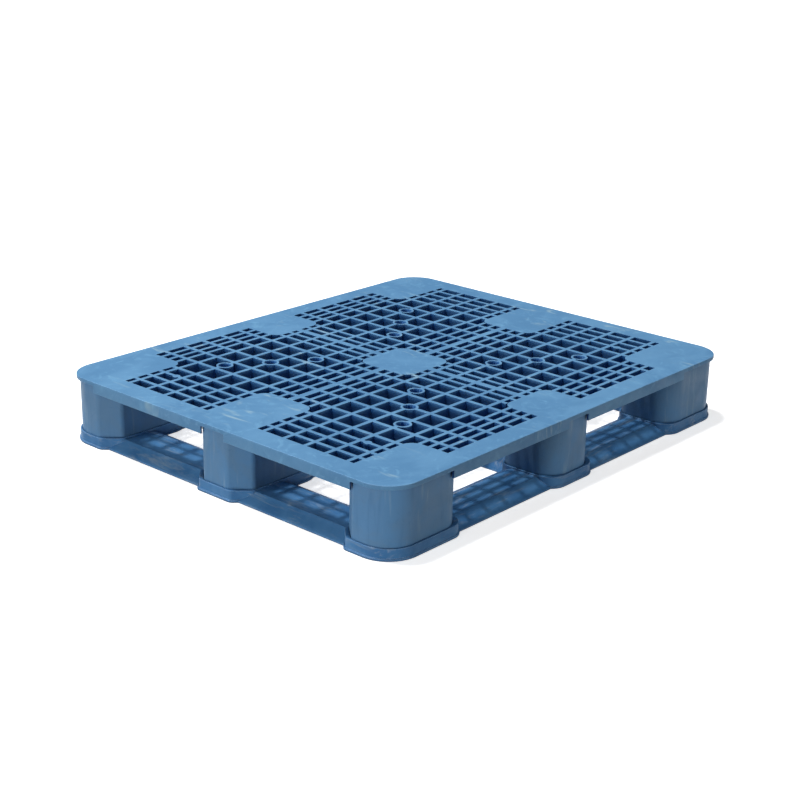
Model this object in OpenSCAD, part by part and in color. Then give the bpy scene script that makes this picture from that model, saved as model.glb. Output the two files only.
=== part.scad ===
// Four-way rackable plastic pallet: a gridded top deck on nine separate hollow columns, whose feet
// stand in the cups of a picture-frame bottom deck. Four steel bars lie in the deck's border.
// Origin on the floor under the middle of the pallet, +X along the long side, +Z up.

/* [Footprint] */
// Length of the pallet along X
pallet_l = 1219.2; // [1180:0.2:1260]
// Width of the pallet along Y
pallet_w = 1016; // [990:0.2:1050]
// Height from the floor to the deck's top
pallet_h = 160; // [150:1:180]
// Plan radius of the deck's four corners
corner_r = 75; // [60:1:90]

/* [Top deck] */
// Depth of the deck from its top to the foot of its ribs and skirt
deck_depth = 27; // [22:1:34]
// Height of the lip that runs round the deck, and thickness of its solid areas
lip_h = 10; // [8:0.5:13]
// Thickness of the skirt under the lip
skirt_t = 6.5; // [5:0.5:8]
// Thickness of the walls that close the border from inside
border_wall = 6; // [4:0.5:8]
// Width of the solid border along the short sides
border_x = 58; // [50:1:64]
// Width of the solid border along the long sides
border_y = 54.5; // [50:0.5:60]
// Pitch of the main ribs
rib_pitch = 60; // [56:1:62]
// Thickness of the main ribs
main_rib_t = 10; // [7:0.5:13]
// Thickness of the closer ribs between the pads
fine_rib_t = 9; // [6:0.5:11]
// Thickness of the two ribs on the centre lines
spine_t = 17; // [12:1:20]
// Outer diameter of the round bosses in the grid
ring_od = 40; // [34:1:46]
// Diameter of the recess in each round boss
ring_bore = 27; // [20:1:30]
// Depth of the recess in each round boss
ring_depth = 10; // [5:1:18]
// Diameter of the four small solid bosses
stud_d = 18; // [12:1:24]

/* [Columns] */
// Set-back of the columns' outer faces from the lip
setback = 8; // [6:0.5:9]
// Thickness of the columns' walls
column_wall = 5; // [4:0.5:8]
// Half-width of the middle columns across each centre line
mid_half = 79; // [72:1:84]
// Distance from the middle of the pallet to the corner columns' inner face, along X
corner_in_x = 380; // [372:1:390]
// Distance from the middle of the pallet to the corner columns' inner face, along Y
corner_in_y = 355; // [345:1:362]
// Plan radius of the columns' inner edges
edge_r = 30; // [20:1:36]
// Plan radius of the outer edges beside the fork openings of the long sides
face_r = 56; // [40:1:60]
// Length along the face of the bevel beside the fork openings of the short sides
bevel_along = 42; // [32:1:44]
// Depth of the same bevel
bevel_deep = 37; // [28:1:40]
// Radius that rounds both edges of the bevels
bevel_r = 15; // [8:1:18]
// Thickness of the ribs and the shelf inside a column
web_t = 5; // [4:0.5:8]

/* [Bottom deck] */
// Height of the cups round the columns' feet
cup_h = 26; // [22:1:32]
// Height of the flange round the cups' feet
flange_h = 5; // [3:0.5:8]
// Width of the flange
flange_w = 3; // [1:0.5:4]
// Height of the runners' flat tops
runner_h = 22; // [18:1:24]
// Thickness of the floor under a column's foot
floor_t = 8; // [7:0.5:12]
// Plan radius of the cups' outer edges on the long sides
cup_r = 45; // [36:1:50]
// Bevel of the cups' outer edges on the short sides
cup_bevel = 36; // [28:1:38]
// Height of the runners' upright outer edge
toe_h = 3; // [2:0.5:6]
// Width of the bevel along the runners' outer edge
outer_bevel = 33; // [25:1:36]
// Width of the bevels along the wheel openings
inner_bevel = 41; // [30:1:42]
// Set-back of the runners' outer edge from the cups
runner_inset = 13.5; // [8:0.5:15]
// Distance from the middle of the pallet to the wheel openings' far edge, along X
opening_x = 443; // [430:1:446]
// Distance from the middle of the pallet to the wheel openings' far edge, along Y
opening_y = 352; // [342:1:353]

/* [Reinforcement and screws] */
// Width of the steel bars
bar_w = 30; // [20:1:30]
// Height of the steel bars
bar_h = 15; // [12:0.5:16]
// Wall thickness of the steel bars
bar_t = 2; // [1.5:0.5:3]
// Length of the two long bars
bar_long = 1080; // [1000:10:1085]
// Length of the two short bars
bar_short = 880; // [820:10:885]
// Diameter of the screws' shanks
screw_d = 6; // [5:0.5:7]
// Diameter of the screws' heads
head_d = 14; // [11:0.5:15]
// Height of the screws' heads
head_h = 4; // [3:0.5:5]

/* [Hidden] */
$fn = 48;
half_l = pallet_l / 2;
half_w = pallet_w / 2;
lip_z = pallet_h - lip_h;
rib_z = pallet_h - deck_depth;
field_x = half_l - border_x;
field_y = half_w - border_y;
gap = 0.4;
rib_gap = 4;
cup_wall = setback;

// The skirt runs on in front of the columns' rounded edges and leaves their flat faces free
skirt_lap = 44;

// Main ribs stand at these distances from the centre lines, the closer ones between the pads
main_x = [for (i = [0:5]) 109.5 + i * rib_pitch];
main_y = [for (i = [0:4]) 98 + i * rib_pitch];
centre_step = 30.75;
end_x = [for (i = [0:2]) 449.5 + i * 36];
end_y = [for (i = [0:2]) 378.25 + i * 26.6];

// Round bosses step outwards along the diagonals of the four quarters
rings = [for (i = [0:2]) [139.5 + i * 90, main_y[i + 1]]];
stud_at = [end_x[0], main_y[3] + 20];
ring_floor = 4;

// Columns: outer faces, middles and the places of their screws
out_x = half_l - setback;
out_y = half_w - setback;
column_bevel = [bevel_deep, bevel_along];
column_x = (corner_in_x + out_x) / 2;
column_y = (corner_in_y + out_y) / 2;
shelf_z = lip_z - bar_h - 0.5;
boss_d = 18;
boss_x = 45;
boss_y_mid = 45;
boss_y_end = 23;
pillar_d = 20;
hole_d = screw_d + 1;

// Bars lie in the border's channel, close to its inner wall
bar_y = half_w - skirt_t - bar_w / 2 - 11;
bar_x = half_l - skirt_t - bar_w / 2 - 13;
bar_slot = bar_w + 1;

// Screw heads under the bottom deck and under the columns' shelves
base_head_z = 1;
base_screw_l = 26;
deck_screw_l = 24;

// Half-width of the middle runners, and height of the upright edges along the wheel openings
mid_runner = mid_half + 1;
inner_toe = 1;

// Pockets under the bottom deck
pocket_count = 4;
pocket_edge = 24;
pocket_wall = 8;
pocket_h = runner_h - 6;

deck_blue = "#6399cc";
column_blue = "#5c83ad";
base_blue = "#3f6ea6";

// ---- plan shapes ----

// Draws its children in all four quarters of the plan
module quarters() {
    for (sx = [-1, 1], sy = [-1, 1]) flip(sx, sy) children();
}

// Mirrors its children into the quarter with the signs sx and sy
module flip(sx, sy) {
    mirror([sx < 0 ? 1 : 0, 0, 0]) mirror([0, sy < 0 ? 1 : 0, 0]) children();
}

// Sharp part of a rounded corner, to be cut away; the corner points along the signs sx and sy
module corner_cut(r, sx, sy) {
    difference() {
        translate([sx > 0 ? -r : -1, sy > 0 ? -r : -1]) square(r + 1);
        translate([-sx * r, -sy * r]) circle(r);
    }
}

// Corner that points along +X and along sy, to be cut away by a bevel of [depth, length]. Arcs of the
// radius bevel_r, as rows of short flats, join the bevel to the two faces
module bevel_cut(bevel, sy) {
    lean = atan(bevel.x / bevel.y);
    x1 = -bevel.x - bevel_r * tan((90 - lean) / 2);
    y0 = -bevel.y - bevel_r * tan(lean / 2);
    steps = [0:0.25:1];
    side_arc = [for (t = steps) arc_point([x1, -bevel_r], 90 + t * (lean - 90))];
    face_arc = [for (t = steps) arc_point([-bevel_r, y0], lean - t * lean)];
    outline = [for (p = concat([[1, 1], [x1, 1]], side_arc, face_arc, [[1, y0]])) [p.x, sy * p.y]];
    polygon(outline);
}

function arc_point(centre, angle) = centre + bevel_r * [cos(angle), sin(angle)];

module rounded_plan(x, y, r) {
    difference() {
        square([2 * x, 2 * y], center = true);
        quarters() translate([x, y]) corner_cut(r, 1, 1);
    }
}

// Column outlines in the +X +Y quarter, grown outwards by g. The edges beside the fork openings are
// bevelled on the short sides, by bevel = [depth, length], and have the radius r on the long sides
module corner_plan(g, bevel, r) {
    x0 = corner_in_x - g;
    y0 = corner_in_y - g;
    difference() {
        translate([x0, y0]) square([out_x + g - x0, out_y + g - y0]);
        translate([out_x + g, out_y + g]) corner_cut(corner_r - setback + g, 1, 1);
        translate([x0, y0]) corner_cut(edge_r + g, -1, -1);
        translate([x0, out_y + g]) corner_cut(r, -1, 1);
        translate([out_x + g, y0]) bevel_cut(bevel, -1);
    }
}

module side_plan(g, bevel) {
    x0 = corner_in_x - g;
    y1 = mid_half + g;
    difference() {
        translate([x0, -y1]) square([out_x + g - x0, 2 * y1]);
        for (s = [-1, 1]) {
            translate([x0, s * y1]) corner_cut(edge_r + g, -1, s);
            translate([out_x + g, s * y1]) bevel_cut(bevel, s);
        }
    }
}

module end_plan(g, r) {
    x1 = mid_half + g;
    y0 = corner_in_y - g;
    difference() {
        translate([-x1, y0]) square([2 * x1, out_y + g - y0]);
        for (s = [-1, 1]) {
            translate([s * x1, y0]) corner_cut(edge_r + g, s, -1);
            translate([s * x1, out_y + g]) corner_cut(r, s, 1);
        }
    }
}

module centre_plan(g) {
    rounded_plan(mid_half + g, mid_half + g, edge_r + g);
}

module all_plans(g, bevel, r) {
    quarters() corner_plan(g, bevel, r);
    for (m = [0, 1]) {
        mirror([m, 0, 0]) side_plan(g, bevel);
        mirror([0, m, 0]) end_plan(g, r);
    }
    centre_plan(g);
}

// All nine columns' outlines, grown outwards by g
module all_column_plans(g) {
    all_plans(g, column_bevel, face_r + g);
}

// ---- top deck ----

// Solid areas over the columns: their outlines carried out to the border
module pads() {
    all_column_plans(0);
    quarters() translate([field_x - 1, field_y - 1]) square([20, 20]);
    for (s = [-1, 1]) {
        translate([s * field_x, 0]) square([40, 2 * mid_half], center = true);
        translate([0, s * field_y]) square([2 * mid_half, 40], center = true);
    }
    quarters() translate([field_x - 30, corner_in_y]) square([40, 60]);
    quarters() translate([corner_in_x, field_y - 30]) square([60, 40]);
}

module rib_along_y(x, t, y0, y1) {
    translate([x - t / 2, y0]) square([t, y1 - y0]);
}

module rib_along_x(y, t, x0, x1) {
    translate([x0, y - t / 2]) square([x1 - x0, t]);
}

// Every rib of the grid, in plan
module ribs() {
    quarters() {
        for (x = main_x) rib_along_y(x, main_rib_t, 0, x < corner_in_x ? field_y : corner_in_y);
        for (y = main_y) rib_along_x(y, main_rib_t, 0, field_x);
        for (x = end_x) rib_along_y(x, fine_rib_t, mid_half - 1, corner_in_y + 1);
        for (y = end_y) rib_along_x(y, fine_rib_t, mid_half - 1, corner_in_x + 1);
        for (i = [1, 2]) {
            rib_along_y(i * centre_step, fine_rib_t, mid_half - 1, corner_in_y + 1);
            rib_along_x(i * centre_step, fine_rib_t, mid_half - 1, corner_in_x + 1);
        }
        for (r = rings) translate(r) circle(d = ring_od);
        translate(stud_at) circle(d = stud_d);
    }
    square([spine_t, 2 * corner_in_y], center = true);
    square([2 * corner_in_x, spine_t], center = true);
}

// Ribs under the border, in line with the main ribs, which leave the bars' channel free
module border_ribs() {
    difference() {
        quarters() {
            for (x = main_x) rib_along_y(x, border_wall, field_y, half_w - 1);
            for (y = main_y) rib_along_x(y, border_wall, field_x, half_l - 1);
        }
        quarters() {
            translate([0, bar_y - bar_slot / 2]) square([half_l, bar_slot]);
            translate([bar_x - bar_slot / 2, 0]) square([bar_slot, half_w]);
        }
    }
}

// Skirt, and the walls that close the border from inside
module deck_rim() {
    free_half = mid_half - skirt_lap;
    difference() {
        rounded_plan(half_l, half_w, corner_r);
        rounded_plan(half_l - skirt_t, half_w - skirt_t, corner_r - skirt_t);
        square([pallet_l + 2, 2 * free_half], center = true);
        square([2 * free_half, pallet_w + 2], center = true);
        quarters() translate([corner_in_x + skirt_lap, corner_in_y + skirt_lap]) square(half_l);
    }
    difference() {
        square([2 * (field_x + border_wall), 2 * (field_y + border_wall)], center = true);
        square([2 * field_x, 2 * field_y], center = true);
    }
}

// Draws its children at the four deck screws of every column
module at_deck_screws() {
    for (cx = [-column_x, 0, column_x], cy = [-column_y, 0, column_y]) {
        for (sx = [-1, 1], sy = [-1, 1]) {
            translate([cx + sx * boss_x, cy + sy * (cy == 0 ? boss_y_mid : boss_y_end), 0]) children();
        }
    }
}

module top_deck() {
    color(deck_blue) difference() {
        union() {
            translate([0, 0, lip_z]) linear_extrude(lip_h) difference() {
                rounded_plan(half_l, half_w, corner_r);
                difference() {
                    square([2 * field_x, 2 * field_y], center = true);
                    pads();
                    ribs();
                }
            }
            translate([0, 0, rib_z]) linear_extrude(lip_z - rib_z) difference() {
                union() {
                    intersection() {
                        ribs();
                        square([2 * field_x, 2 * field_y], center = true);
                    }
                    deck_rim();
                    border_ribs();
                }
                all_column_plans(rib_gap);
            }
            at_deck_screws() translate([0, 0, shelf_z]) cylinder(d = boss_d, h = lip_z - shelf_z);
        }
        at_deck_screws() translate([0, 0, shelf_z - 1]) cylinder(d = screw_d, h = deck_screw_l - 2);
        quarters() for (r = rings) {
            translate([r.x, r.y, pallet_h - ring_depth]) cylinder(d = ring_bore, h = ring_depth + 1);
            translate([r.x, r.y, rib_z - 1])
                cylinder(d = ring_bore, h = deck_depth - ring_depth - ring_floor + 1);
        }
    }
}

// ---- columns ----

// A column: walls, an inner shelf that carries the deck, and webs with pillars for the screws
module column(cx, cy, size_x, size_y) {
    top = shelf_z - web_t;
    color(column_blue) difference() {
        union() {
            translate([0, 0, floor_t]) linear_extrude(lip_z - floor_t) difference() {
                children(0);
                children(1);
            }
            translate([0, 0, top]) linear_extrude(web_t) children(0);
            translate([0, 0, floor_t]) linear_extrude(top - floor_t + 1) intersection() {
                children(0);
                translate([cx, cy]) union() {
                    square([size_x, web_t], center = true);
                    square([web_t, size_y], center = true);
                    pillar_places(size_x, size_y) circle(d = pillar_d);
                }
            }
        }
        translate([cx, cy, floor_t - 1]) pillar_places(size_x, size_y) {
            cylinder(d = screw_d, h = base_screw_l - 2);
        }
        for (sx = [-1, 1], sy = [-1, 1]) {
            translate([cx + sx * boss_x, cy + sy * (cy == 0 ? boss_y_mid : boss_y_end), top - 1])
                cylinder(d = hole_d, h = web_t + 2);
        }
        bar_slots();
    }
}

// Draws its children at the four base screws of a column of this size
module pillar_places(size_x, size_y) {
    for (s = [-1, 1]) {
        translate([s * size_x * 0.3, 0, 0]) children();
        translate([0, s * size_y * 0.3, 0]) children();
    }
}

// Space that the bars take in the columns' upper walls
module bar_slots() {
    for (s = [-1, 1]) {
        translate([-bar_long / 2 - 1, s * bar_y - bar_slot / 2, shelf_z])
            cube([bar_long + 2, bar_slot, bar_h + 1]);
        translate([s * bar_x - bar_slot / 2, -bar_short / 2 - 1, shelf_z])
            cube([bar_slot, bar_short + 2, bar_h + 1]);
    }
}

module corner_column(sx, sy) {
    column(sx * column_x, sy * column_y, out_x - corner_in_x, out_y - corner_in_y) {
        flip(sx, sy) corner_plan(0, column_bevel, face_r);
        flip(sx, sy) corner_plan(-column_wall, column_bevel, face_r - column_wall);
    }
}

module side_column(sx) {
    column(sx * column_x, 0, out_x - corner_in_x, 2 * mid_half) {
        flip(sx, 1) side_plan(0, column_bevel);
        flip(sx, 1) side_plan(-column_wall, column_bevel);
    }
}

module end_column(sy) {
    column(0, sy * column_y, 2 * mid_half, out_y - corner_in_y) {
        flip(1, sy) end_plan(0, face_r);
        flip(1, sy) end_plan(-column_wall, face_r - column_wall);
    }
}

module column_front_left() { corner_column(-1, -1); }
module column_front_middle() { end_column(-1); }
module column_front_right() { corner_column(1, -1); }
module column_middle_left() { side_column(-1); }
module column_middle_right() { side_column(1); }
module column_back_left() { corner_column(-1, 1); }
module column_back_middle() { end_column(1); }
module column_back_right() { corner_column(1, 1); }

module column_centre() {
    column(0, 0, 2 * mid_half, 2 * mid_half) {
        centre_plan(0);
        centre_plan(-column_wall);
    }
}

// ---- bottom deck ----

// Runner along X from -l to l, with edges at the distances edges, of the heights toes, and bevels of
// the widths bevels between them and the flat top
module runner(l, edges, toes, bevels) {
    rotate([90, 0, 90]) translate([0, 0, -l]) linear_extrude(2 * l) polygon([
        [edges[0], 0],
        [edges[0], toes[0]],
        [edges[0] + bevels[0], runner_h],
        [edges[1] - bevels[1], runner_h],
        [edges[1], toes[1]],
        [edges[1], 0]
    ]);
}

module runners() {
    edge_x = half_l - runner_inset;
    edge_y = half_w - runner_inset;
    toes = [toe_h, inner_toe];
    bevels = [outer_bevel, inner_bevel];
    for (a = [0, 180]) {
        rotate(a) runner(edge_x - outer_bevel, [-edge_y, -opening_y], toes, bevels);
        rotate(a + 90) runner(edge_y - outer_bevel, [-edge_x, -opening_x], toes, bevels);
    }
    for (a = [0, 90]) {
        l = inner_bevel + (a == 0 ? opening_x : opening_y);
        rotate(a) runner(l, [-mid_runner, mid_runner], [inner_toe, inner_toe], [inner_bevel, inner_bevel]);
    }
}

// Pockets in the underside of the flat stretches between the columns
module underside_pockets() {
    span_x = corner_in_x - mid_half - 2 * pocket_edge;
    span_y = corner_in_y - mid_half - 2 * pocket_edge;
    step_x = (span_x + pocket_wall) / pocket_count;
    step_y = (span_y + pocket_wall) / pocket_count;
    flat_y0 = opening_y + inner_bevel;
    flat_x0 = opening_x + inner_bevel;
    flat_y1 = half_w - runner_inset - outer_bevel;
    flat_x1 = half_l - runner_inset - outer_bevel;
    flat_mid = mid_runner - inner_bevel;
    for (i = [0:pocket_count - 1]) {
        x = mid_half + pocket_edge + i * step_x;
        y = mid_half + pocket_edge + i * step_y;
        quarters() {
            translate([x, flat_y0, -1]) cube([step_x - pocket_wall, flat_y1 - flat_y0, pocket_h + 1]);
            translate([flat_x0, y, -1]) cube([flat_x1 - flat_x0, step_y - pocket_wall, pocket_h + 1]);
            translate([x, pocket_wall / 2, -1])
                cube([step_x - pocket_wall, flat_mid - pocket_wall / 2, pocket_h + 1]);
            translate([pocket_wall / 2, y, -1])
                cube([flat_mid - pocket_wall / 2, step_y - pocket_wall, pocket_h + 1]);
        }
    }
}

// Draws its children at the four base screws of every column
module at_base_screws() {
    long_x = out_x - corner_in_x;
    long_y = out_y - corner_in_y;
    for (cx = [-1, 0, 1], cy = [-1, 0, 1]) {
        translate([cx * column_x, cy * column_y, 0])
            pillar_places(cx == 0 ? 2 * mid_half : long_x, cy == 0 ? 2 * mid_half : long_y) children();
    }
}

// All nine cups' outlines, at the distance g from the columns' faces
module cup_plans(g) {
    all_plans(g, [cup_bevel, cup_bevel], cup_r + g - cup_wall);
}

module bottom_deck() {
    color(base_blue) difference() {
        union() {
            difference() {
                runners();
                underside_pockets();
            }
            linear_extrude(flange_h) cup_plans(cup_wall);
            linear_extrude(cup_h) cup_plans(cup_wall - flange_w);
        }
        translate([0, 0, floor_t]) linear_extrude(cup_h) all_column_plans(gap);
        at_base_screws() {
            translate([0, 0, -1]) cylinder(d = head_d + 2, h = base_head_z + head_h + 1);
            cylinder(d = hole_d, h = floor_t + 1);
        }
    }
}

// ---- bars and screws ----

// Rectangular steel tube along X with its middle at the origin of its underside
module bar(l) {
    color("silver") difference() {
        translate([-l / 2, -bar_w / 2, 0]) cube([l, bar_w, bar_h]);
        translate([-l / 2 - 1, bar_t - bar_w / 2, bar_t]) cube([l + 2, bar_w - 2 * bar_t, bar_h - 2 * bar_t]);
    }
}

module reinforcement_bar_front() { translate([0, -bar_y, shelf_z]) bar(bar_long); }
module reinforcement_bar_back() { translate([0, bar_y, shelf_z]) bar(bar_long); }
module reinforcement_bar_left() { translate([-bar_x, 0, shelf_z]) rotate(90) bar(bar_short); }
module reinforcement_bar_right() { translate([bar_x, 0, shelf_z]) rotate(90) bar(bar_short); }

// Screw that points up, with the underside of its head at the origin, and a hexagon socket
module screw(l) {
    difference() {
        union() {
            translate([0, 0, -head_h]) cylinder(d = head_d, h = head_h);
            cylinder(d = screw_d, h = l);
        }
        translate([0, 0, -head_h - 1]) cylinder(d = screw_d, h = head_h / 2 + 1, $fn = 6);
    }
}

module deck_screws() {
    color("dimgray") at_deck_screws() translate([0, 0, shelf_z - web_t]) screw(deck_screw_l);
}

module base_screws() {
    color("dimgray") at_base_screws() translate([0, 0, base_head_z + head_h]) screw(base_screw_l);
}

top_deck();
bottom_deck();
column_front_left();
column_front_middle();
column_front_right();
column_middle_left();
column_centre();
column_middle_right();
column_back_left();
column_back_middle();
column_back_right();
reinforcement_bar_front();
reinforcement_bar_back();
reinforcement_bar_left();
reinforcement_bar_right();
deck_screws();
base_screws();
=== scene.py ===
"""Looks of the plastic pallet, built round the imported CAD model: rounded mouldings, plastics, steel."""

import math

import bmesh
import bpy
from mathutils import Matrix, Vector


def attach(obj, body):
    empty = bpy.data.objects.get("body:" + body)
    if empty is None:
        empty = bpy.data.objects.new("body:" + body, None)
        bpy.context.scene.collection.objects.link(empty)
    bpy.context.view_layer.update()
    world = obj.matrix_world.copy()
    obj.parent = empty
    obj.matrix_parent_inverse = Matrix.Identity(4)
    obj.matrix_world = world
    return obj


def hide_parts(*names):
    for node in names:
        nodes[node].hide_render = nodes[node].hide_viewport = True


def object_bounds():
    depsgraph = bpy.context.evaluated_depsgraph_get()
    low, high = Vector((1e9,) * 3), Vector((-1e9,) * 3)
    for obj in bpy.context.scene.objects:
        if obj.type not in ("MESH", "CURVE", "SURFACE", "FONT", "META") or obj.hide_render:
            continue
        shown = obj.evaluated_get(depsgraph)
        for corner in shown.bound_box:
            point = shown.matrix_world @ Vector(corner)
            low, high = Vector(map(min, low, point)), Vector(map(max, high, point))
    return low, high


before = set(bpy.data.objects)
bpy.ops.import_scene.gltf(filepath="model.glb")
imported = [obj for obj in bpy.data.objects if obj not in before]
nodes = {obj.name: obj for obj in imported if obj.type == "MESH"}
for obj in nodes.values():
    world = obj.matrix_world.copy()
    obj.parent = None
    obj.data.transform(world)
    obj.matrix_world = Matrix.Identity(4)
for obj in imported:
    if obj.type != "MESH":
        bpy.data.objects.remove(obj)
cad_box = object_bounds()
scene = bpy.context.scene
MM = 0.001

COLUMNS = [name for name in nodes if name.startswith("column_")]
BARS = [name for name in nodes if name.startswith("reinforcement_bar_")]
SCREWS = ["deck_screws", "base_screws"]
low, high = cad_box
WHITE = (1.0, 1.0, 1.0, 1.0)


# ---- camera ----

def aim(obj, place, target, roll=0.0):
    """Puts obj at place, looks at target and turns it about its own line of sight."""
    look = (Vector(target) - Vector(place)).to_track_quat("-Z", "Y").to_matrix().to_4x4()
    obj.matrix_world = Matrix.Translation(Vector(place)) @ look @ Matrix.Rotation(roll, 4, "Z")


def make_camera():
    """The photograph's viewpoint, off the front left corner and turned a little about its line of sight."""
    data = bpy.data.cameras.new("camera")
    camera = bpy.data.objects.new("camera", data)
    scene.collection.objects.link(camera)
    data.sensor_width = 36.0
    data.lens = 69.95
    data.shift_x = -0.002
    data.clip_end = 50.0
    aim(camera, (-2.632, -2.305, 1.316), (-0.0413, -0.0290, 0.08), math.radians(1.14))
    scene.camera = camera


make_camera()


# ---- shader helpers ----

class Shader:
    """A node material that is built up socket by socket."""

    def __init__(self, name):
        self.material = bpy.data.materials.new(name)
        self.material.use_nodes = True
        self.nodes = self.material.node_tree.nodes
        self.links = self.material.node_tree.links
        self.surface = self.nodes["Principled BSDF"]
        self.place = self.nodes.new("ShaderNodeTexCoord").outputs["Object"]

    def link(self, source, socket):
        """Sets the socket to a number or a colour, or joins it to another node's output."""
        if isinstance(source, (int, float)):
            socket.default_value = source
        elif isinstance(source, tuple):
            socket.default_value = (*source, 1.0) if len(source) == 3 and socket.type == "RGBA" else source
        else:
            self.links.new(source, socket)

    def math(self, operation, a, b=0.0):
        node = self.nodes.new("ShaderNodeMath")
        node.operation = operation
        self.link(a, node.inputs[0])
        self.link(b, node.inputs[1])
        return node.outputs[0]

    def scaled(self, scale, shift=(0.0, 0.0, 0.0), turn=0.0):
        """Object coordinates, turned about Z, stretched by scale and moved by shift."""
        node = self.nodes.new("ShaderNodeMapping")
        self.link(self.place, node.inputs["Vector"])
        node.inputs["Scale"].default_value = scale
        node.inputs["Location"].default_value = shift
        node.inputs["Rotation"].default_value = (0.0, 0.0, turn)
        return node.outputs[0]

    def along(self, axis):
        """The object coordinate along X, Y or Z."""
        node = self.nodes.new("ShaderNodeSeparateXYZ")
        self.link(self.place, node.inputs[0])
        return node.outputs[axis]

    def noise(self, scale, detail=3.0, roughness=0.5, distortion=0.0, at=None):
        node = self.nodes.new("ShaderNodeTexNoise")
        self.link(self.place if at is None else at, node.inputs["Vector"])
        node.inputs["Scale"].default_value = scale
        node.inputs["Detail"].default_value = detail
        node.inputs["Roughness"].default_value = roughness
        node.inputs["Distortion"].default_value = distortion
        return node.outputs["Fac"]

    def ramp(self, value, start, end, to_low=0.0, to_high=1.0):
        """value from start to end, smoothly carried over to the span from to_low to to_high."""
        node = self.nodes.new("ShaderNodeMapRange")
        node.interpolation_type = "SMOOTHSTEP"
        self.link(value, node.inputs["Value"])
        node.inputs["From Min"].default_value = start
        node.inputs["From Max"].default_value = end
        node.inputs["To Min"].default_value = to_low
        node.inputs["To Max"].default_value = to_high
        return node.outputs["Result"]

    def mix(self, factor, a, b):
        """Colour a where factor is 0 and colour b where it is 1."""
        node = self.nodes.new("ShaderNodeMix")
        node.data_type = "RGBA"
        self.link(factor, node.inputs[0])
        self.link(a, node.inputs[6])
        self.link(b, node.inputs[7])
        return node.outputs[2]

    def bump(self, height_value, distance, strength, base=None):
        node = self.nodes.new("ShaderNodeBump")
        node.inputs["Distance"].default_value = distance
        node.inputs["Strength"].default_value = strength
        self.link(height_value, node.inputs["Height"])
        if base is not None:
            self.link(base, node.inputs["Normal"])
        return node.outputs[0]

    def crevice(self, distance, start=0.75, end=0.25):
        """0 where start or more of the view is open within distance, 1 where end or less of it is."""
        node = self.nodes.new("ShaderNodeAmbientOcclusion")
        node.samples = 4
        node.inputs["Distance"].default_value = distance
        return self.ramp(node.outputs["AO"], start, end)

    def rounded(self, radius):
        """The surface's normal as if its edges were rounded by radius."""
        node = self.nodes.new("ShaderNodeBevel")
        node.samples = 4
        node.inputs["Radius"].default_value = radius
        return node.outputs[0]

    def edge(self, radius):
        """1 on an outer or inner edge, where the true and the rounded normal part, and 0 on flat ground."""
        true = self.nodes.new("ShaderNodeNewGeometry").outputs["Normal"]
        dot = self.nodes.new("ShaderNodeVectorMath")
        dot.operation = "DOT_PRODUCT"
        self.link(self.rounded(radius), dot.inputs[0])
        self.link(true, dot.inputs[1])
        return self.ramp(dot.outputs["Value"], 0.995, 0.90)


def finish_plastic(s, colour, roughness, grain_strength, sheltered):
    """Gloss, fine grain and slow waves of a foam moulding, made rougher where it is sheltered."""
    s.link(colour, s.surface.inputs["Base Color"])
    s.link(s.math("MAXIMUM", roughness, sheltered), s.surface.inputs["Roughness"])
    s.surface.inputs["IOR"].default_value = 1.5
    s.surface.inputs["Specular IOR Level"].default_value = 0.2
    grain = s.bump(s.noise(650.0, 2.0), 0.4 * MM, grain_strength, s.rounded(1.5 * MM))
    waves = s.bump(s.noise(14.0, 3.0, 0.55, 0.6), 2.5 * MM, 0.35, grain)
    s.link(waves, s.surface.inputs["Normal"])


def deck_plastic():
    """Light blue foam moulding with patches of pale swirls. The grid's sheltered walls get painted shade: an
    ambient occlusion mask darkens them to navy.
    """
    s = Shader("deck_plastic")
    blue, deep = (0.114, 0.278, 0.482), (0.088, 0.232, 0.425)
    bright, pale = (0.140, 0.330, 0.540), (0.36, 0.52, 0.58)
    colour = s.mix(s.ramp(s.noise(5.0, 4.0, 0.6, 1.2), 0.38, 0.66), deep, blue)
    colour = s.mix(s.ramp(s.noise(17.0, 5.0, 0.65, 2.0), 0.50, 0.74), colour, bright)
    patch = s.ramp(s.noise(8.0, 1.0, 0.4, 0.3, s.scaled((1.0, 1.0, 1.0), (4.2, 1.7, 0.0))), 0.50, 0.66)
    across = s.noise(1.0, 3.0, 0.55, 1.8, s.scaled((36.0, 9.0, 9.0), (0.3, 0.1, 0.0), 0.5))
    wisps = s.math("MULTIPLY", s.ramp(across, 0.55, 0.72), patch)
    colour = s.mix(s.math("MULTIPLY", wisps, 0.55), colour, pale)
    colour = s.mix(s.ramp(s.noise(210.0, 2.0), 0.66, 0.82, 0.0, 0.25), colour, (0.30, 0.42, 0.55))
    # painted highlight: outer and inner edges lightened where the rounded and true normals part
    colour = s.mix(s.math("MULTIPLY", s.edge(2.5 * MM), 0.45), colour, (0.245, 0.460, 0.700))
    # painted shade: where the ambient occlusion mask finds a recess, the colour is darkened to navy
    sheltered = s.crevice(60 * MM, 0.93, 0.55)
    colour = s.mix(s.math("MULTIPLY", sheltered, 0.96), colour, (0.003, 0.072, 0.270))
    finish_plastic(s, colour, s.ramp(s.noise(22.0, 4.0, 0.6), 0.3, 0.7, 0.42, 0.60), 0.25, sheltered)
    return s.material


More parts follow.
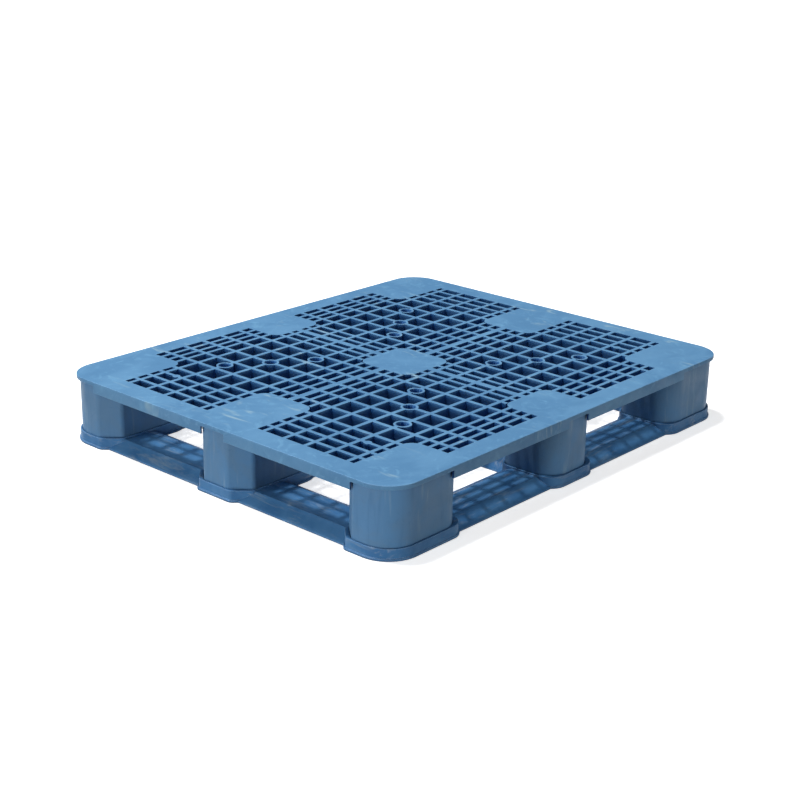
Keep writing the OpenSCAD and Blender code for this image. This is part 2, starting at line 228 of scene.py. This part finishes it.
def column_plastic():
    """Greyer blue moulding with upright flow streaks and mottling."""
    s = Shader("column_plastic")
    blue, grey = (0.098, 0.245, 0.455), (0.110, 0.235, 0.400)
    dark, pale = (0.060, 0.160, 0.330), (0.22, 0.36, 0.49)
    colour = s.mix(s.ramp(s.noise(9.0, 4.0, 0.6, 1.0), 0.35, 0.68), blue, grey)
    upright = s.noise(1.0, 4.0, 0.62, 0.5, s.scaled((46.0, 46.0, 4.0)))
    colour = s.mix(s.ramp(upright, 0.56, 0.72, 0.0, 0.55), colour, pale)
    colour = s.mix(s.ramp(upright, 0.46, 0.26, 0.0, 0.35), colour, dark)
    colour = s.mix(s.ramp(s.noise(34.0, 5.0, 0.7, 2.2), 0.54, 0.78, 0.0, 0.35), colour, dark)
    # painted highlight: outer and inner edges lightened where the rounded and true normals part
    colour = s.mix(s.math("MULTIPLY", s.edge(3 * MM), 0.25), colour, (0.18, 0.29, 0.42))
    # painted shade: seams, recesses and the space under the lip darkened by an ambient occlusion mask
    sheltered = s.crevice(12 * MM)
    colour = s.mix(s.math("MULTIPLY", sheltered, 0.7), colour, (0.008, 0.040, 0.10))
    finish_plastic(s, colour, s.ramp(s.noise(30.0, 4.0, 0.6), 0.3, 0.7, 0.40, 0.58), 0.2, sheltered)
    return s.material


def base_plastic():
    """Deeper blue moulding, scuffed pale by the forks and the floor along the runners."""
    s = Shader("base_plastic")
    blue, deep, pale = (0.075, 0.225, 0.455), (0.045, 0.165, 0.375), (0.30, 0.40, 0.50)
    colour = s.mix(s.ramp(s.noise(7.0, 4.0, 0.6, 1.4), 0.36, 0.66), deep, blue)
    patch = s.ramp(s.noise(5.5, 2.0, 0.5, 0.8, s.scaled((1.0, 1.0, 1.0), (2.3, 0.4, 0.0))), 0.38, 0.56)
    along_x = s.noise(1.0, 5.0, 0.7, 0.8, s.scaled((9.0, 60.0, 60.0)))
    along_y = s.noise(1.0, 5.0, 0.7, 0.8, s.scaled((60.0, 9.0, 60.0)))
    side_runner = s.ramp(s.math("ABSOLUTE", s.along(0)), 0.44, 0.47)
    streaks = s.math("ADD", s.math("MULTIPLY", side_runner, along_y),
                     s.math("MULTIPLY", s.math("SUBTRACT", 1.0, side_runner), along_x))
    scuffs = s.math("MULTIPLY", s.ramp(streaks, 0.50, 0.70), patch)
    colour = s.mix(s.math("MULTIPLY", scuffs, 0.60), colour, pale)
    colour = s.mix(s.ramp(s.noise(40.0, 5.0, 0.7, 1.8), 0.55, 0.8, 0.0, 0.4), colour, (0.13, 0.24, 0.40))
    # painted highlight: outer and inner edges lightened where the rounded and true normals part
    colour = s.mix(s.math("MULTIPLY", s.edge(3 * MM), 0.55), colour, (0.27, 0.42, 0.62))
    # painted shade: seams and recesses darkened by an ambient occlusion mask
    sheltered = s.crevice(14 * MM)
    colour = s.mix(s.math("MULTIPLY", sheltered, 0.8), colour, (0.003, 0.030, 0.09))
    finish_plastic(s, colour, s.ramp(s.noise(26.0, 4.0, 0.6), 0.3, 0.7, 0.38, 0.58), 0.25, sheltered)
    return s.material


def galvanised(name, light):
    """Zinc with a faint spangle and drawn lines."""
    s = Shader(name)
    cells = s.nodes.new("ShaderNodeTexVoronoi")
    s.link(s.place, cells.inputs["Vector"])
    cells.inputs["Scale"].default_value = 180.0
    spangle = s.ramp(cells.outputs["Distance"], 0.0, 0.8)
    dark = tuple(0.72 * c for c in light)
    colour = s.mix(spangle, dark, light)
    colour = s.mix(s.ramp(s.noise(30.0, 4.0, 0.6), 0.55, 0.75, 0.0, 0.5), colour, (0.30, 0.27, 0.23))
    s.link(colour, s.surface.inputs["Base Color"])
    s.surface.inputs["Metallic"].default_value = 0.9
    s.link(s.ramp(s.noise(60.0, 3.0), 0.3, 0.7, 0.30, 0.52), s.surface.inputs["Roughness"])
    drawn = s.noise(1.0, 3.0, 0.5, 0.0, s.scaled((120.0, 120.0, 900.0)))
    s.link(s.bump(drawn, 0.2 * MM, 0.3), s.surface.inputs["Normal"])
    return s.material


# ---- rounded mouldings ----

SHARP = math.radians(28)
SAME_PLANE = math.radians(0.5)
WELD = 0.02 * MM
NO_LENGTH = 0.005 * MM
ON_PLANE = 0.05 * MM
AT_TOP = 0.1 * MM
ROOM = 2.2  # an edge needs this many radii of length to be rounded


def on_outline(face, points):
    """Whether an upright face lies on the outermost outline of those points."""
    reach = face.calc_center_median() @ face.normal
    return abs(face.normal.z) < 0.01 and reach > max(p @ face.normal for p in points) - ON_PLANE


def shade_smooth(piece):
    """Smooth shading that leaves flat faces flat right up to their rounded edges."""
    for face in piece.data.polygons:
        face.use_smooth = True
    piece.data.set_sharp_from_angle(angle=SHARP)
    flat = piece.modifiers.new("flat_faces", "WEIGHTED_NORMAL")
    flat.keep_sharp = True
    flat.weight = 100


def rounded_copy(name, radius, outline_only=False):
    """A copy of the CAD node's mesh, with its sharp edges rounded where there is room for the radius.

    With outline_only, only the edges along the outermost outline are rounded.
    """
    mesh = bmesh.new()
    mesh.from_mesh(nodes[name].data)
    bmesh.ops.remove_doubles(mesh, verts=mesh.verts, dist=WELD)
    upright = [e for e in mesh.edges if all(abs(f.normal.z) < 0.99 for f in e.link_faces)]
    bmesh.ops.dissolve_limit(mesh, angle_limit=SAME_PLANE, verts=mesh.verts, edges=upright)
    sharp = {e for e in mesh.edges if len(e.link_faces) == 2 and e.calc_face_angle(0.0) > SHARP}
    if outline_only:
        points = [v.co for v in mesh.verts if abs(v.co.z - high[2]) < AT_TOP]
        walls = {f for f in mesh.faces if on_outline(f, points)}
        sharp = {e for e in sharp if walls & set(e.link_faces)}
    cramped = {v for e in sharp if e.calc_length() < ROOM * radius for v in e.verts}
    free = [e for e in sharp if not cramped & set(e.verts)]
    bmesh.ops.bevel(mesh, geom=free, offset=radius, offset_type="OFFSET", segments=2, profile=0.5,
                    affect="EDGES", clamp_overlap=False, loop_slide=True)
    bmesh.ops.dissolve_degenerate(mesh, edges=mesh.edges, dist=NO_LENGTH)
    bmesh.ops.triangulate(mesh, faces=[f for f in mesh.faces if len(f.verts) > 4])
    bmesh.ops.recalc_face_normals(mesh, faces=mesh.faces)
    data = bpy.data.meshes.new(name + "_moulding")
    mesh.to_mesh(data)
    mesh.free()
    piece = bpy.data.objects.new(name + "_moulding", data)
    scene.collection.objects.link(piece)
    shade_smooth(piece)
    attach(piece, "root")
    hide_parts(name)
    return piece


DECK = deck_plastic()
COLUMN = column_plastic()
BASE = base_plastic()
BAR = galvanised("bar_steel", (0.26, 0.27, 0.28))
SCREW = galvanised("screw_steel", (0.55, 0.56, 0.58))


def dress(piece, material):
    """Gives a rounded copy its material."""
    piece.data.materials.clear()
    piece.data.materials.append(material)


def dress_cad(name, material):
    """Gives a CAD node that stays visible its material."""
    for place in nodes[name].material_slots:
        place.material = material


dress(rounded_copy("top_deck", 1.5 * MM, outline_only=True), DECK)
dress(rounded_copy("bottom_deck", 0.9 * MM), BASE)
for name in COLUMNS:
    dress(rounded_copy(name, 0.8 * MM), COLUMN)
for name in BARS:
    dress_cad(name, BAR)
for name in SCREWS:
    dress_cad(name, SCREW)


# ---- stage ----

def make_floor():
    """A white floor. It glows a little and throws no light on the object, so the underside stays dark."""
    mesh = bpy.data.meshes.new("floor")
    reach = 24.0
    corners = [(-reach, -reach, 0), (reach, -reach, 0), (reach, reach, 0), (-reach, reach, 0)]
    mesh.from_pydata(corners, [], [(0, 1, 2, 3)])
    floor = bpy.data.objects.new("floor", mesh)
    scene.collection.objects.link(floor)
    floor.location.z = low[2] - 0.3 * MM
    s = Shader("floor")
    s.link(s.mix(s.noise(1.5, 2.0), (0.84, 0.845, 0.85), (0.87, 0.87, 0.87)), s.surface.inputs["Base Color"])
    s.surface.inputs["Roughness"].default_value = 0.9
    s.surface.inputs["Specular IOR Level"].default_value = 0.1
    s.surface.inputs["Emission Color"].default_value = WHITE
    s.surface.inputs["Emission Strength"].default_value = 0.65
    mesh.materials.append(s.material)
    floor.visible_diffuse = False


def area_light(name, direction, distance, size, power):
    """A round soft light of that size, at that distance from the object in that direction."""
    data = bpy.data.lights.new(name, "AREA")
    data.shape = "DISK"
    data.size = size
    data.energy = power
    light = bpy.data.objects.new(name, data)
    scene.collection.objects.link(light)
    aim(light, Vector(direction).normalized() * distance, (0, 0, 0))


def sky(world):
    """White from above and dim from below, so that the object's underside stays dark."""
    tree = world.node_tree
    up = tree.nodes.new("ShaderNodeSeparateXYZ")
    tree.links.new(tree.nodes.new("ShaderNodeTexCoord").outputs["Generated"], up.inputs[0])
    fade = tree.nodes.new("ShaderNodeMapRange")
    fade.interpolation_type = "SMOOTHSTEP"
    for socket, value in (("From Min", -0.1), ("From Max", 0.6), ("To Min", 0.035), ("To Max", 0.20)):
        fade.inputs[socket].default_value = value
    tree.links.new(up.outputs["Z"], fade.inputs["Value"])
    tree.links.new(fade.outputs["Result"], tree.nodes["Background"].inputs["Strength"])
    tree.nodes["Background"].inputs["Color"].default_value = WHITE


def make_light():
    """A key light and a broad soft one, both from above, and low fills for the two sides that are seen."""
    world = bpy.data.worlds.new("studio")
    world.use_nodes = True
    scene.world = world
    sky(world)
    sun = bpy.data.lights.new("key", "SUN")
    sun.energy = 1.45
    sun.angle = 0.10
    key = bpy.data.objects.new("key", sun)
    scene.collection.objects.link(key)
    aim(key, (-0.10, 0.30, 1.20), (0, 0, 0))
    area_light("overhead", (-0.12, 0.35, 1.0), 4.5, 2.0, 120)
    area_light("left_fill", (-1.0, -0.10, 0.13), 4.5, 1.2, 88)
    area_light("right_fill", (0.10, -1.0, 0.07), 5.0, 1.4, 51)


make_floor()
make_light()
scene.view_settings.view_transform = "Standard"
